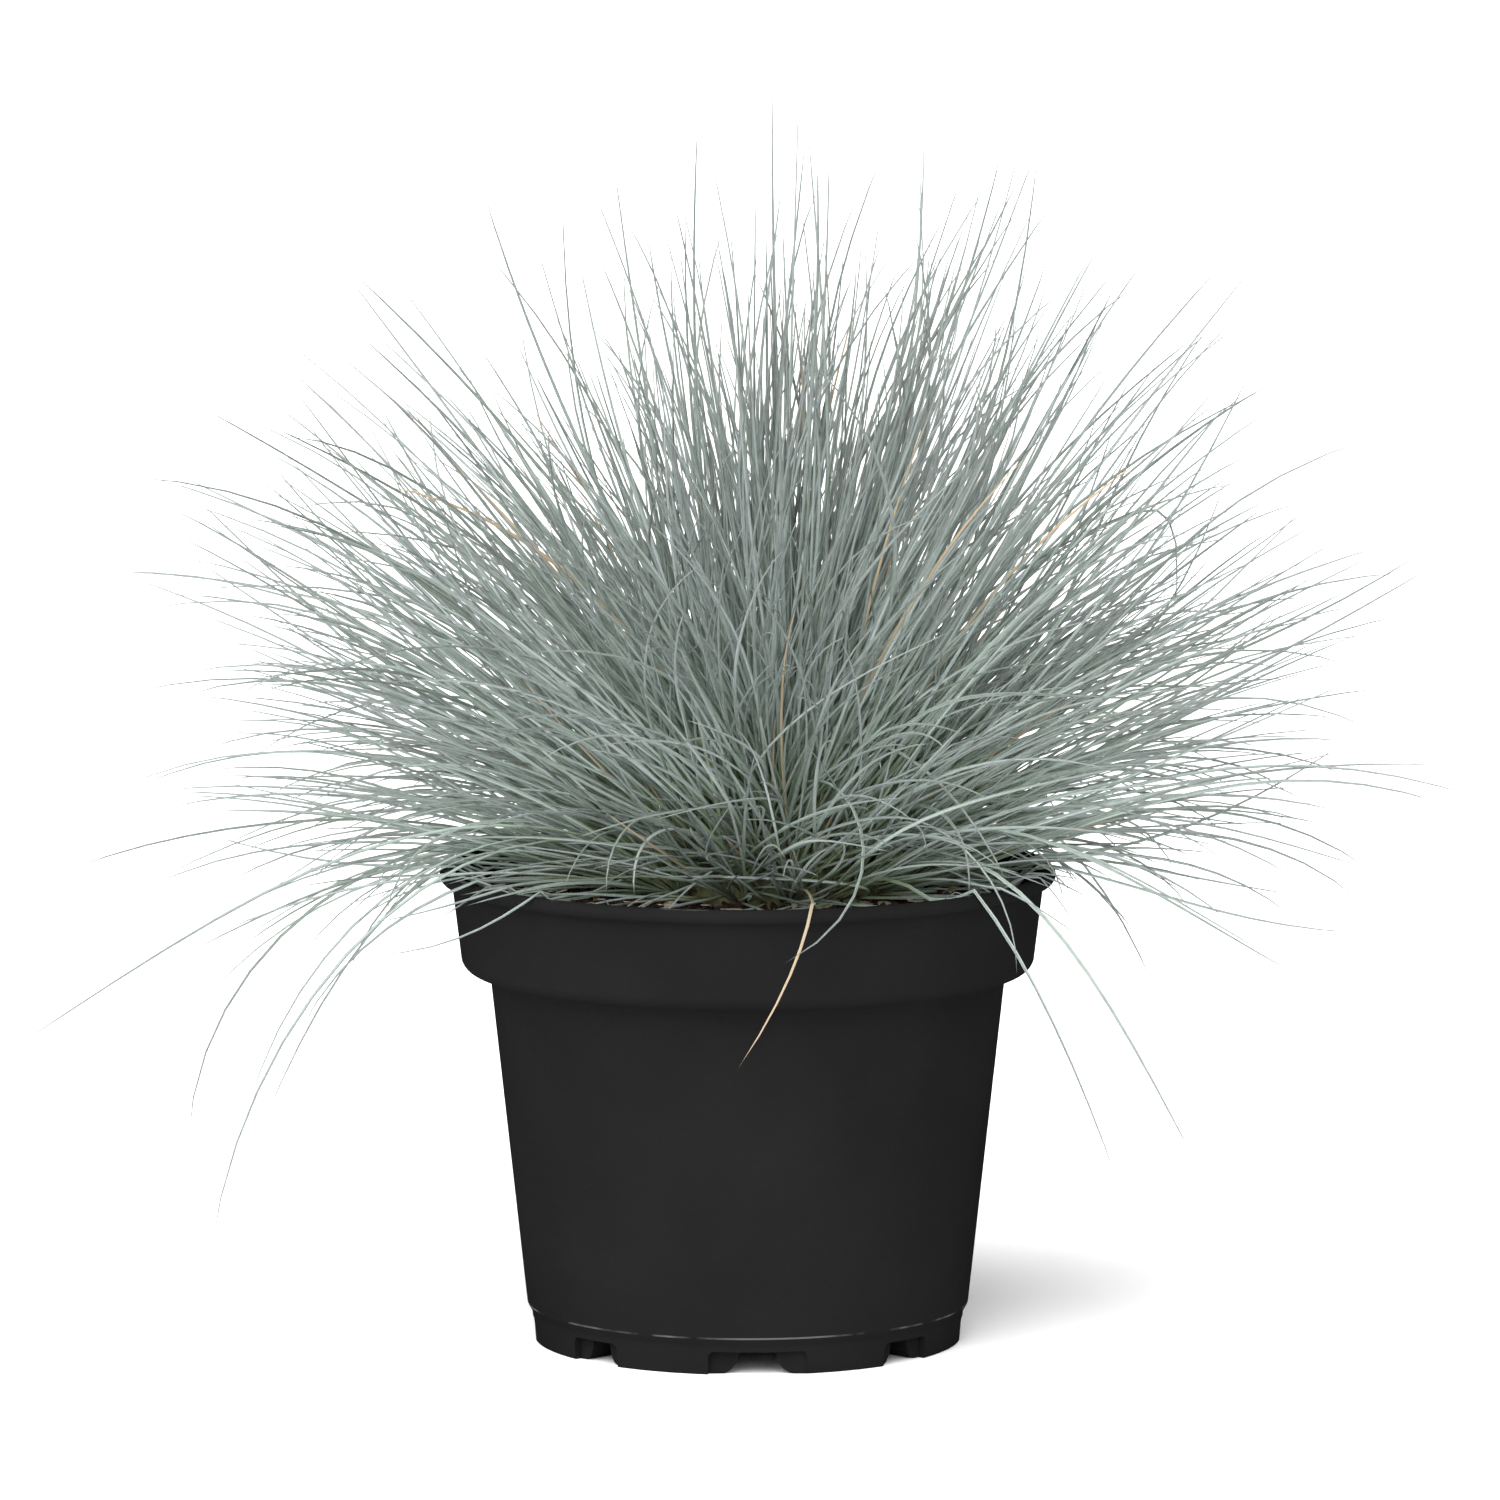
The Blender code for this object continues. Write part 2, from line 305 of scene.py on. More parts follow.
def object_place(nodes_):
    """The place on the object, in metres."""
    return nodes_.new("ShaderNodeTexCoord").outputs["Object"]


def noise_node(nodes_, links, vector, scale, detail=3.0):
    """A Noise Texture; returns its mask."""
    node = nodes_.new("ShaderNodeTexNoise")
    node.inputs["Scale"].default_value = scale
    node.inputs["Detail"].default_value = detail
    links.new(vector, node.inputs["Vector"])
    return node.outputs["Fac"]


def grain_group():
    """A fine noise as a mask, and the bumps that it makes together with any other relief."""
    group = bpy.data.node_groups.new("grain", "ShaderNodeTree")
    group.interface.new_socket(name="Vector", in_out="INPUT", socket_type="NodeSocketVector")
    for name in ("Scale", "Relief", "Strength", "Distance"):
        group.interface.new_socket(name=name, in_out="INPUT", socket_type="NodeSocketFloat")
    group.interface.new_socket(name="Mask", in_out="OUTPUT", socket_type="NodeSocketFloat")
    group.interface.new_socket(name="Normal", in_out="OUTPUT", socket_type="NodeSocketVector")
    given = group.nodes.new("NodeGroupInput").outputs
    result = group.nodes.new("NodeGroupOutput").inputs
    specks = group.nodes.new("ShaderNodeTexNoise")
    specks.inputs["Detail"].default_value = 3.0
    bump = group.nodes.new("ShaderNodeBump")
    for name, node in (("Vector", specks), ("Scale", specks), ("Strength", bump), ("Distance", bump)):
        group.links.new(given[name], node.inputs[name])
    height = maths(group.nodes, group.links, "ADD", specks.outputs["Fac"], given["Relief"])
    group.links.new(height, bump.inputs["Height"])
    group.links.new(specks.outputs["Fac"], result["Mask"])
    group.links.new(bump.outputs["Normal"], result["Normal"])
    return group


def grained(nodes_, links, shader, place, scale, strength, distance, relief=0.0):
    """Puts the grain on a shader's normal; returns the grain's mask."""
    node = nodes_.new("ShaderNodeGroup")
    node.node_tree = bpy.data.node_groups.get("grain") or grain_group()
    links.new(place, node.inputs["Vector"])
    for name, value in (("Scale", scale), ("Strength", strength), ("Distance", distance)):
        node.inputs[name].default_value = value
    if not isinstance(relief, float):
        links.new(relief, node.inputs["Relief"])
    links.new(node.outputs["Normal"], shader.inputs["Normal"])
    return node.outputs["Mask"]


def leaf_material():
    """Waxy fescue leaf. The map's U holds a column for each kind of leaf, and across it the way from the
    leaf's keel to its groove; V runs from the sheath to the tip.
    Light and shade are painted into its colour: painted shade over each leaf's outer half, at its keel and in
    its groove, and a painted highlight a third of the way up and along its rolled edge."""
    made, nodes_, links, shader = new_material("fescue_leaf")
    place = nodes_.new("ShaderNodeUVMap")
    place.uv_map = "OFBake"
    split = nodes_.new("ShaderNodeSeparateXYZ")
    links.new(place.outputs["UV"], split.inputs[0])
    columns = maths(nodes_, links, "MULTIPLY", split.outputs["X"], float(COLUMNS))
    column = maths(nodes_, links, "FLOOR", columns)
    across = maths(nodes_, links, "FRACT", columns)
    height = split.outputs["Y"]
    kind = nodes_.new("ShaderNodeTexWhiteNoise")
    kind.noise_dimensions = "1D"
    links.new(column, kind.inputs["W"])
    mottle = noise_node(nodes_, links, place.outputs["UV"], 60.0, 2.0)
    # Painted light along the leaf: brightest a third of the way up, with painted shade darkening the outer
    # half towards the tip; the olive foot and the tan tip are the leaf's own colour
    painted_light_along_leaf = ramp(
        nodes_,
        links,
        height,
        (
            (0.00, (0.135, 0.112, 0.056)),
            (0.07, (0.104, 0.134, 0.038)),
            (0.20, (0.106, 0.150, 0.066)),
            (0.36, (0.205, 0.250, 0.226)),
            (0.56, (0.146, 0.174, 0.161)),
            (0.76, (0.084, 0.099, 0.092)),
            (0.94, (0.068, 0.079, 0.074)),
            (1.00, (0.086, 0.080, 0.067)),
        ),
    )
    greener = mixed(nodes_, links, 0.80, painted_light_along_leaf, (0.30, 0.41, 0.27), "MULTIPLY")
    bluer = mixed(nodes_, links, 1.0, painted_light_along_leaf, (1.56, 1.54, 1.62), "MULTIPLY")
    living = mixed(nodes_, links, kind.outputs["Value"], greener, bluer)
    # Painted highlight on the rolled edge and painted shade at the keel and in the groove; the groove is also
    # a little greener in its own colour
    ridge_highlight_groove_shade = ramp(
        nodes_,
        links,
        across,
        (
            (0.00, (0.80, 0.84, 0.80)),
            (0.16, (1.00, 1.00, 1.00)),
            (0.66, (1.22, 1.20, 1.20)),
            (0.84, (0.66, 0.74, 0.60)),
            (1.00, (0.50, 0.60, 0.44)),
        ),
    )
    ridge_lit_groove_shaded = mixed(nodes_, links, 0.85, living, ridge_highlight_groove_shade, "MULTIPLY")
    wax = maths(nodes_, links, "MULTIPLY", mottle, 0.30)
    waxed = mixed(nodes_, links, wax, ridge_lit_groove_shaded, (0.56, 0.62, 0.60))
    straw = ramp(
        nodes_,
        links,
        height,
        (
            (0.00, (0.18, 0.145, 0.085)),
            (0.45, (0.30, 0.260, 0.180)),
            (1.00, (0.36, 0.265, 0.170)),
        ),
    )
    dry = maths(nodes_, links, "LESS_THAN", column, float(DRY_COLUMNS))
    links.new(mixed(nodes_, links, dry, waxed, straw), shader.inputs["Base Color"])
    shader.inputs["Roughness"].default_value = 0.52
    shader.inputs["Specular IOR Level"].default_value = 0.45
    return made


def pot_material():
    """Charcoal moulded plastic: a fine grain, faint turned lines, and pale edge lines that are partly rubbed
    wear and partly painted highlight, paler on the left where the light falls.
    """
    made, nodes_, links, shader = new_material("pot_plastic")
    place = object_place(nodes_)
    split = nodes_.new("ShaderNodeSeparateXYZ")
    links.new(place, split.inputs[0])
    cloud = noise_node(nodes_, links, place, 22.0)
    stretch = nodes_.new("ShaderNodeMapping")
    stretch.inputs["Scale"].default_value = (14.0, 14.0, 900.0)
    links.new(place, stretch.inputs["Vector"])
    lines = noise_node(nodes_, links, stretch.outputs["Vector"], 1.0, 2.0)
    charcoal = ((0.30, (0.0080, 0.0080, 0.0083)), (0.72, (0.0100, 0.0100, 0.0104)))
    tone = ramp(nodes_, links, cloud, charcoal)
    # Rubbed edges and painted highlights: thin level bands at the body's foot edge and at the lip, broken up
    # by a coarse noise and painted paler towards the left, where the light comes from
    broken = noise_node(nodes_, links, place, 45.0)
    wear_and_left_light = maths(nodes_, links, "MULTIPLY_ADD", split.outputs["X"], -1.6, broken)
    bands = []
    for height, half, low in ((BODY_BOTTOM[1] + 0.0002, 0.00028, 0.47), (LIP_TOP - 0.0001, 0.0002, 0.62)):
        above = maths(nodes_, links, "SUBTRACT", split.outputs["Z"], height)
        off = maths(nodes_, links, "ABSOLUTE", above)
        band = maths(nodes_, links, "LESS_THAN", off, half)
        patch = maths(nodes_, links, "MULTIPLY_ADD", wear_and_left_light, 9.0, -9.0 * low, clamp=True)
        bands.append(maths(nodes_, links, "MULTIPLY", band, patch))
    wear_and_highlight = maths(nodes_, links, "MAXIMUM", *bands)
    # The bands' pale grey is partly wear and partly painted highlight
    colour = mixed(nodes_, links, wear_and_highlight, tone, (0.075, 0.075, 0.077))
    links.new(colour, shader.inputs["Base Color"])
    rough = maths(nodes_, links, "MULTIPLY_ADD", cloud, 0.18, 0.50)
    links.new(rough, shader.inputs["Roughness"])
    shader.inputs["Specular IOR Level"].default_value = 0.0
    relief = maths(nodes_, links, "MULTIPLY", lines, 0.6)
    grained(nodes_, links, shader, place, 900.0, 0.30, 0.00025, relief)
    return made


def soil_material():
    """Moist peat and coir: dark red-brown, lighter on the odd grain."""
    made, nodes_, links, shader = new_material("soil")
    place = object_place(nodes_)
    patches = noise_node(nodes_, links, place, 160.0)
    grains = grained(nodes_, links, shader, place, 700.0, 0.8, 0.0006)
    base = ramp(
        nodes_,
        links,
        patches,
        (
            (0.25, (0.010, 0.0055, 0.0040)),
            (0.50, (0.030, 0.0150, 0.0100)),
            (0.62, (0.060, 0.0300, 0.0190)),
            (0.80, (0.110, 0.0600, 0.0380)),
        ),
    )
    links.new(mixed(nodes_, links, 0.6, base, grains, "MULTIPLY"), shader.inputs["Base Color"])
    shader.inputs["Roughness"].default_value = 0.92
    shader.inputs["Specular IOR Level"].default_value = 0.25
    return made


def litter_material():
    """Bleached leaf chips and straw."""
    made, nodes_, links, shader = new_material("dry_litter")
    place = object_place(nodes_)
    spots = grained(nodes_, links, shader, place, 240.0, 0.4, 0.0004)
    tone = ramp(
        nodes_,
        links,
        spots,
        ((0.30, (0.150, 0.110, 0.060)), (0.52, (0.300, 0.265, 0.190)), (0.75, (0.440, 0.420, 0.350))),
    )
    links.new(tone, shader.inputs["Base Color"])
    shader.inputs["Roughness"].default_value = 0.75
    return made


def sheath_material():
    """Old papery sheaths: mottled from dark olive to brown."""
    made, nodes_, links, shader = new_material("crown_sheaths")
    place = object_place(nodes_)
    spots = grained(nodes_, links, shader, place, 320.0, 0.6, 0.0006)
    tone = ramp(
        nodes_,
        links,
        spots,
        ((0.30, (0.030, 0.030, 0.012)), (0.55, (0.075, 0.080, 0.030)), (0.78, (0.170, 0.140, 0.070))),
    )
    links.new(tone, shader.inputs["Base Color"])
    shader.inputs["Roughness"].default_value = 0.8
    return made


# Pot


def pot_outline():
    """The whole wall's outline: under the floor, up the outside, over the lip and down the inside."""
    bead = LIP_TOP - COLLAR_TOP[1]
    bead_centre = (LIP_RADIUS - bead / 2, LIP_TOP - bead / 2)
    fillet_centre = (COLLAR_BOTTOM[0] - COLLAR_FILLET, COLLAR_BOTTOM[1])
    fillet = list(reversed(arc_points(fillet_centre, COLLAR_FILLET, 0, -72, 8)))
    lip = arc_points(bead_centre, bead / 2, -70, 125, 12)
    outside = [
        (0.0, 0.0),
        (FOOT_RADIUS - 0.0010, 0.0),
        *rounded((0.0, 0.0), (FOOT_RADIUS, 0.0), FOOT_TOP, EDGE_ROUND),
        *rounded((FOOT_RADIUS, 0.0), FOOT_TOP, BODY_BOTTOM, EDGE_ROUND),
        *rounded(FOOT_TOP, BODY_BOTTOM, BODY_TOP, EDGE_ROUND),
        *(along(BODY_BOTTOM, BODY_TOP, share / 6) for share in range(1, 6)),
        *rounded(BODY_BOTTOM, BODY_TOP, fillet[0], TURN_ROUND),
        *fillet,
        along(COLLAR_BOTTOM, COLLAR_TOP, 0.5),
        *rounded(COLLAR_BOTTOM, COLLAR_TOP, lip[0], TURN_ROUND),
        *lip,
    ]
    inside = [
        (COLLAR_TOP[0] - WALL, COLLAR_TOP[1]),
        (COLLAR_BOTTOM[0] - WALL, COLLAR_BOTTOM[1] + WALL / 2),
        (COLLAR_BOTTOM[0] - COLLAR_FILLET, COLLAR_BOTTOM[1] - COLLAR_FILLET / 2),
        (BODY_TOP[0] - WALL, BODY_TOP[1] + WALL),
        (BODY_BOTTOM[0] - WALL, BODY_BOTTOM[1]),
        (BODY_BOTTOM[0] - 2 * WALL, FLOOR_TOP),
        (0.0, FLOOR_TOP),
    ]
    return outside + inside


def arch_outline(width):
    """An arch through the foot's ring, with rounded upper corners."""
    half = width / 2 - ARCH_CORNER
    top = ARCH_HEIGHT - ARCH_CORNER
    right = arc_points((half, top), ARCH_CORNER, 0, 90, 7)
    left = arc_points((-half, top), ARCH_CORNER, 90, 180, 7)
    return [(width / 2, -WALL), *right, *left, (-width / 2, -WALL)]


def rounded_wall(roof, foot, steps):
    """The side of a cut that rounds over from its roof, at the arches' height, down to its wider foot."""
    wall = []
    for step in range(steps + 1):
        turn = math.radians(90 * step / steps)
        wall.append((roof + (foot - roof) * (1 - math.cos(turn)), ARCH_HEIGHT * (1 - math.sin(turn))))
    return [*wall, (foot, -WALL)]


def channel_outline(width):
    """A drain channel with a narrow roof and a wide foot."""
    right = rounded_wall(width / 2 * CHANNEL_TOP_SHARE, width / 2 * CHANNEL_FOOT_SHARE, 10)
    return [(-across, height) for across, height in reversed(right)] + right


def hollow_outline():
    """The round hollow under the floor."""
    return [(0.0, ARCH_HEIGHT), *rounded_wall(HOLLOW_RADIUS - ARCH_HEIGHT, HOLLOW_RADIUS, 8), (0.0, -WALL)]


def prism(outline, azimuth, near, far, shift):
    """A level prism that runs outward at the azimuth between two distances from the axis."""
    bm = bmesh.new()
    way = outward(azimuth)
    side = Vector((-way.y, way.x, 0.0))
    ring = []
    for across, height in outline:
        ring.append(bm.verts.new(shift + way * near + side * across + Vector((0.0, 0.0, height))))
    face = bm.faces.new(ring)
    extruded = bmesh.ops.extrude_face_region(bm, geom=[face])["geom"]
    moved = [item for item in extruded if isinstance(item, bmesh.types.BMVert)]
    bmesh.ops.translate(bm, verts=moved, vec=way * (far - near))
    return bm


def add_closed(target, bm):
    """Adds one closed bmesh to another, facing outward."""
    mesh = bm_mesh("part", bm)
    target.from_mesh(mesh)
    bpy.data.meshes.remove(mesh)


def pot_cuts():
    """Everything that is cut out of the foot: the hollow, the arches, the drain channels and holes."""
    cuts = bmesh.new()
    add_closed(cuts, turned(hollow_outline(), 80))
    aside = Vector((WIDE_ARCH_OFFSET, 0.0, 0.0))
    arches = [(WIDE_ARCH, azimuth, WIDE_CHANNEL_START, aside) for azimuth in (0, 180)]
    arches += [(NARROW_ARCH, azimuth, NARROW_CHANNEL_START, Vector()) for azimuth in NARROW_ARCH_AZIMUTHS]
    for width, azimuth, near, shift in arches:
        ring_inside = FOOT_RADIUS - FOOT_RING_WALL
        add_closed(cuts, prism(arch_outline(width), azimuth, ring_inside, FOOT_RADIUS + 3 * WALL, shift))
        add_closed(cuts, prism(channel_outline(width), azimuth, near, FOOT_RADIUS, shift))
    for hole in range(DRAIN_HOLES):
        top = FLOOR_TOP + 0.0025
        drill = [(0.0, top), (DRAIN_HOLE_RADIUS, top), (DRAIN_HOLE_RADIUS, 0.0), (0.0, 0.0)]
        place = outward(45 + 360 / DRAIN_HOLES * hole) * DRAIN_HOLE_CIRCLE
        add_closed(cuts, turned(drill, 32, place))
    return cuts


def make_pot(material):
    """The pot's wall with its foot cut out."""
    blank = bpy.data.objects.new("pot_blank", bm_mesh("pot_blank", turned(pot_outline(), POT_SIDES)))
    cuts = pot_cuts()
    mesh = bpy.data.meshes.new("pot_cuts")
    cuts.to_mesh(mesh)
    cuts.free()
    cutter = bpy.data.objects.new("pot_cuts", mesh)
    for helper in (blank, cutter):
        bpy.context.scene.collection.objects.link(helper)
    cut = blank.modifiers.new("cuts", "BOOLEAN")
    cut.operation = "DIFFERENCE"
    cut.solver = "EXACT"
    cut.use_self = True
    cut.object = cutter
    mesh = settled(blank)
    mesh.name = "nursery_pot"
    mesh.materials.clear()
    for helper in (blank, cutter):
        bpy.data.objects.remove(helper, do_unlink=True)
    pot = piece("nursery_pot", mesh, material, 28)
    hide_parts("pot")


# Soil


def soil_places(rng, count, inner, outer, height):
    """Random places on the soil, evenly spread between two distances from the axis."""
    radius = np.sqrt(rng.uniform(inner**2, outer**2, count))
    turn = rng.uniform(0, math.tau, count)
    return np.stack([radius * np.cos(turn), radius * np.sin(turn), np.full(count, height)], 1)


def make_soil(soil_finish, litter_finish, rng):
    """The plug of soil with an uneven top, loose crumbs on it, and dry litter."""
    edge = soil_high.x - 0.0004
    rings = 42
    top = [(edge * i / rings, SOIL_TOP - 0.001) for i in range(rings + 1)]
    shoulder = (BODY_TOP[0] - WALL - SOIL_GAP, BODY_TOP[1])
    foot = (BODY_BOTTOM[0] - 2 * WALL - 0.001, FLOOR_TOP + SOIL_GAP)
    bm = turned([*top, shoulder, foot, (0.0, FLOOR_TOP + SOIL_GAP)], 150)
    for vertex in bm.verts:
        if vertex.co.z > SOIL_TOP - 0.002:
            place = vertex.co * 90
            vertex.co.z += noise.noise(place) * 0.0014 + noise.noise(place * 4.1) * 0.0007
    soil = piece("soil_plug", bm_mesh("soil_plug", bm), soil_finish, 60)
    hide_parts("soil")
    centres = soil_places(rng, CRUMBS, CRUMBS_START, edge - 0.001, SOIL_TOP - 0.0006)
    centres[:, 2] += rng.uniform(0, 0.0010, CRUMBS)
    bm = bmesh.new()
    bmesh.ops.create_icosphere(bm, subdivisions=1, radius=1.0)
    sizes = 0.0006 + 0.0011 * rng.random((CRUMBS, 1)) ** 2
    crumbs = scattered("soil_crumbs", bm, centres, sizes * rng.uniform(0.6, 1.4, (CRUMBS, 3)), rng)
    piece("soil_crumbs", crumbs, soil_finish, 40)
    centres = soil_places(rng, CHIPS, CHIPS_START, edge - 0.006, SOIL_TOP + 0.0010)
    bm = bmesh.new()
    bmesh.ops.create_cube(bm, size=1.0)
    bmesh.ops.subdivide_edges(bm, edges=bm.edges[:], cuts=1, use_grid_fill=True)
    long = rng.uniform(0.003, 0.010, CHIPS)
    wide = rng.uniform(0.0012, 0.0032, CHIPS)
    sizes = np.stack([long, wide, np.full(CHIPS, CHIP_THICKNESS)], 1)
    chips = scattered("leaf_chips", bm, centres, sizes, rng, tilt=0.25)
    piece("leaf_chips", chips, litter_finish, 40)


def arrayed(name, bm, count):
    """A mesh of so many copies of the bmesh, all in one place, from an Array."""
    source = bpy.data.objects.new(name, bm_mesh(name, bm))
    bpy.context.scene.collection.objects.link(source)
    copies = source.modifiers.new("copies", "ARRAY")
    copies.count = count
    copies.use_relative_offset = False
    copies.use_merge_vertices = False
    mesh = settled(source)
    mesh.name = name
    bpy.data.objects.remove(source, do_unlink=True)
    return mesh


def vertices_of(mesh):
    """The places of a mesh's vertices, as an array."""
    places = np.empty(len(mesh.vertices) * 3, np.float32)
    mesh.vertices.foreach_get("co", places)
    return places.reshape(-1, 3).astype(np.float64)


def set_vertices(mesh, places):
    """Puts a mesh's vertices at these places."""
    mesh.vertices.foreach_set("co", places.astype(np.float32).ravel())
    mesh.update()


def scattered(name, bm, centres, sizes, rng, tilt=None):
    """Copies of a small shape at these centres, each with its own size and turn."""
    count = len(centres)
    mesh = arrayed(name, bm, count)
    shape = vertices_of(mesh).reshape(count, -1, 3) * sizes[:, None, :]
    if tilt is None:
        axes = np.linalg.qr(rng.normal(size=(count, 3, 3)))[0]
    else:
        turn = rng.uniform(0, math.tau, count)
        flat = np.stack([np.cos(turn), np.sin(turn), rng.normal(0, tilt, count)], 1)
        flat /= np.linalg.norm(flat, axis=1, keepdims=True)
        side = np.cross(np.array([0.0, 0.0, 1.0]), flat)
        side /= np.linalg.norm(side, axis=1, keepdims=True)
        axes = np.stack([flat, side, np.cross(flat, side)], 2)
    axes *= np.sign(np.linalg.det(axes))[:, None, None]
    set_vertices(mesh, (np.einsum("nij,nvj->nvi", axes, shape) + centres[:, None, :]).reshape(-1, 3))
    return mesh


# Blades


# Half of a leaf's cross-section, from its keel to its groove: across, up, and its place on the map
SECTION = (
    (0.00, -0.42, 0.00),
    (0.36, -0.22, 0.30),
    (0.50, 0.10, 0.58),
    (0.30, 0.34, 0.80),
    (0.00, 0.06, 1.00),
)


def straight_blade():
    """A folded leaf of unit width and length, upright along Z, with a pointed tip."""
    left = [(-across, up, place) for across, up, place in reversed(SECTION[1:-1])]
    around = [*SECTION, *left]
    bm = bmesh.new()
    stand = Matrix.Translation((0.0, 0.0, 0.5))
    bmesh.ops.create_cone(
        bm,
        cap_ends=True,
        segments=len(around),
        radius1=1.0,
        radius2=1.0,
        depth=1.0,
        matrix=stand,
    )
    upright = [edge for edge in bm.edges if abs(edge.verts[0].co.z - edge.verts[1].co.z) > 0.5]
    bmesh.ops.subdivide_edges(bm, edges=upright, cuts=SEGMENTS - 1)
    for vertex in bm.verts:
        corner = round(math.atan2(vertex.co.y, vertex.co.x) / math.tau * len(around)) % len(around)
        vertex.co.x, vertex.co.y = around[corner][:2]
    top = [vertex for vertex in bm.verts if vertex.co.z > 1 - 0.5 / SEGMENTS]
    bmesh.ops.pointmerge(bm, verts=top, merge_co=(0.0, 0.0, 1.0))
    return bm


def section_place(across, up):
    """Where on the map a point of the cross-section is, from the keel at 0 to the groove at 1."""
    gaps = [(abs(abs(across) - a) + abs(up - b), place) for a, b, place in SECTION]
    return min(gaps)[1]


def width_along(share):
    """How wide a leaf is along its length: a narrow foot, full width, then a fine point."""
    foot = 0.78 + 0.22 * np.clip(share / 0.15, 0, 1)
    point = np.clip((1 - share) / 0.42, 0, 1) ** 0.60
    return foot * (0.12 + 0.88 * point)


def blades_mesh(name, paths, widths, columns, rolls):
    """One mesh of leaves. Each follows its path of points, turned about it by its roll."""
    count, points = paths.shape[:2]
    mesh = arrayed(name, straight_blade(), count)
    shape = vertices_of(mesh).reshape(count, -1, 3)
    across, up, share = shape[0].T
    tangents = np.gradient(paths, axis=1)
    tangents /= np.linalg.norm(tangents, axis=2, keepdims=True)
    chord = paths[:, -1] - paths[:, 0]
    flat = np.stack([chord[:, 1], -chord[:, 0], np.zeros(count)], 1)
    flat /= np.linalg.norm(flat, axis=1, keepdims=True) + 1e-9
    side = np.repeat(flat[:, None, :], points, 1)
    side -= tangents * (side * tangents).sum(2, keepdims=True)
    side /= np.linalg.norm(side, axis=2, keepdims=True)
    normal = np.cross(side, tangents)
    turn = rolls[:, None, None] * np.linspace(0.6, 1.4, points)[None, :, None]
    turned_side = side * np.cos(turn) + normal * np.sin(turn)
    turned_up = normal * np.cos(turn) - side * np.sin(turn)
    level = np.clip(np.round(share * (points - 1)).astype(int), 0, points - 1)
    width = widths[:, None] * width_along(share)[None, :]
    places = paths[:, level]
    places = places + turned_side[:, level] * (across * width)[..., None]
    places = places + turned_up[:, level] * (up * width)[..., None]
    place_at = np.array([section_place(a, b) for a, b in zip(across, up)])
    set_vertices(mesh, places.reshape(-1, 3))
    loops = np.empty(len(mesh.loops), np.int32)
    mesh.loops.foreach_get("vertex_index", loops)
    owner, local = loops // len(share), loops % len(share)
    u = (columns[owner] + 0.08 + 0.84 * place_at[local]) / COLUMNS
    v = 0.01 + 0.98 * share[local]
    layer = mesh.uv_layers.new(name="OFBake")
    layer.uv.foreach_set("vector", np.stack([u, v], 1).astype(np.float32).ravel())
    mesh.shade_smooth()
    return mesh


def clear_of_pot(paths):
    """Lifts the leaves that would run through the soil or the lip, so that they lie on them instead."""
    radius = np.hypot(paths[..., 0], paths[..., 1])
    near_lip = np.clip((radius - (LIP_RADIUS - LIP_APPROACH)) / LIP_RISE, 0, 1)
    ground = SOIL_TOP + LEAF_CLEARANCE + (LIP_TOP - SOIL_TOP) * near_lip
    inside = radius < LIP_RADIUS + 0.0025
    lift = np.where(inside, np.maximum(ground - paths[..., 2], 0), 0)
    lift = np.maximum.accumulate(lift, axis=1)
    lifted = paths.copy()
    lifted[..., 2] += lift
    return lifted


def led_to_tips(leaves):
    """Curved paths that are clear of the pot and still end at their tips."""
    low = np.zeros(len(leaves))
    for _ in range(4):
        curves = [curve_path((*leaf[0][:2], leaf[0][2] - drop), *leaf[1:]) for leaf, drop in zip(leaves, low)]
        paths = clear_of_pot(np.stack(curves))
        low += paths[:, -1, 2] - np.array([leaf[0][2] for leaf in leaves])
    return paths


def spine_of(node_name):
    """The middle line of a CAD tuft: the mean of each of its rings of corners, from the crown outward."""
    mesh = nodes[node_name].data
    places = np.unique(np.round(vertices_of(mesh), 6), axis=0)
    far = np.linalg.norm(places - np.array(CROWN_CENTRE), axis=1)
    places = places[np.argsort(far)]
    rings = len(places) // 6
    return places[: rings * 6].reshape(rings, 6, 3).mean(1)


def angles_of(way):
    """Azimuth and lean of a direction."""
    azimuth = math.degrees(math.atan2(way[0], -way[1]))
    return azimuth, math.degrees(math.atan2(math.hypot(way[0], way[1]), way[2]))


def directions(azimuth, lean):
    """The directions at arrays of azimuths and leans."""
    azimuth, lean = np.radians(azimuth), np.radians(lean)
    return np.stack([np.sin(lean) * np.sin(azimuth), -np.sin(lean) * np.cos(azimuth), np.cos(lean)], -1)


def walked(start, azimuths, leans, lengths):
    """Paths from their starts, in steps of equal length at these angles, clear of the pot."""
    steps = directions(azimuths, leans) * (lengths / SEGMENTS)[:, None, None]
    return clear_of_pot(np.concatenate([start[:, None], start[:, None] + np.cumsum(steps, axis=1)], axis=1))


def growth(ways):
    """The share of a tuft's reach and of its number that leaves these ways have, from the nearest sides."""
    sides = np.array([directions(azimuth, lean) for azimuth, lean, _, _ in GROWTH])
    shares = np.array([row[2:] for row in GROWTH])
    weights = np.exp(GROWTH_FOCUS * (ways @ sides.T - 1.0))
    return weights @ shares / weights.sum(-1, keepdims=True)


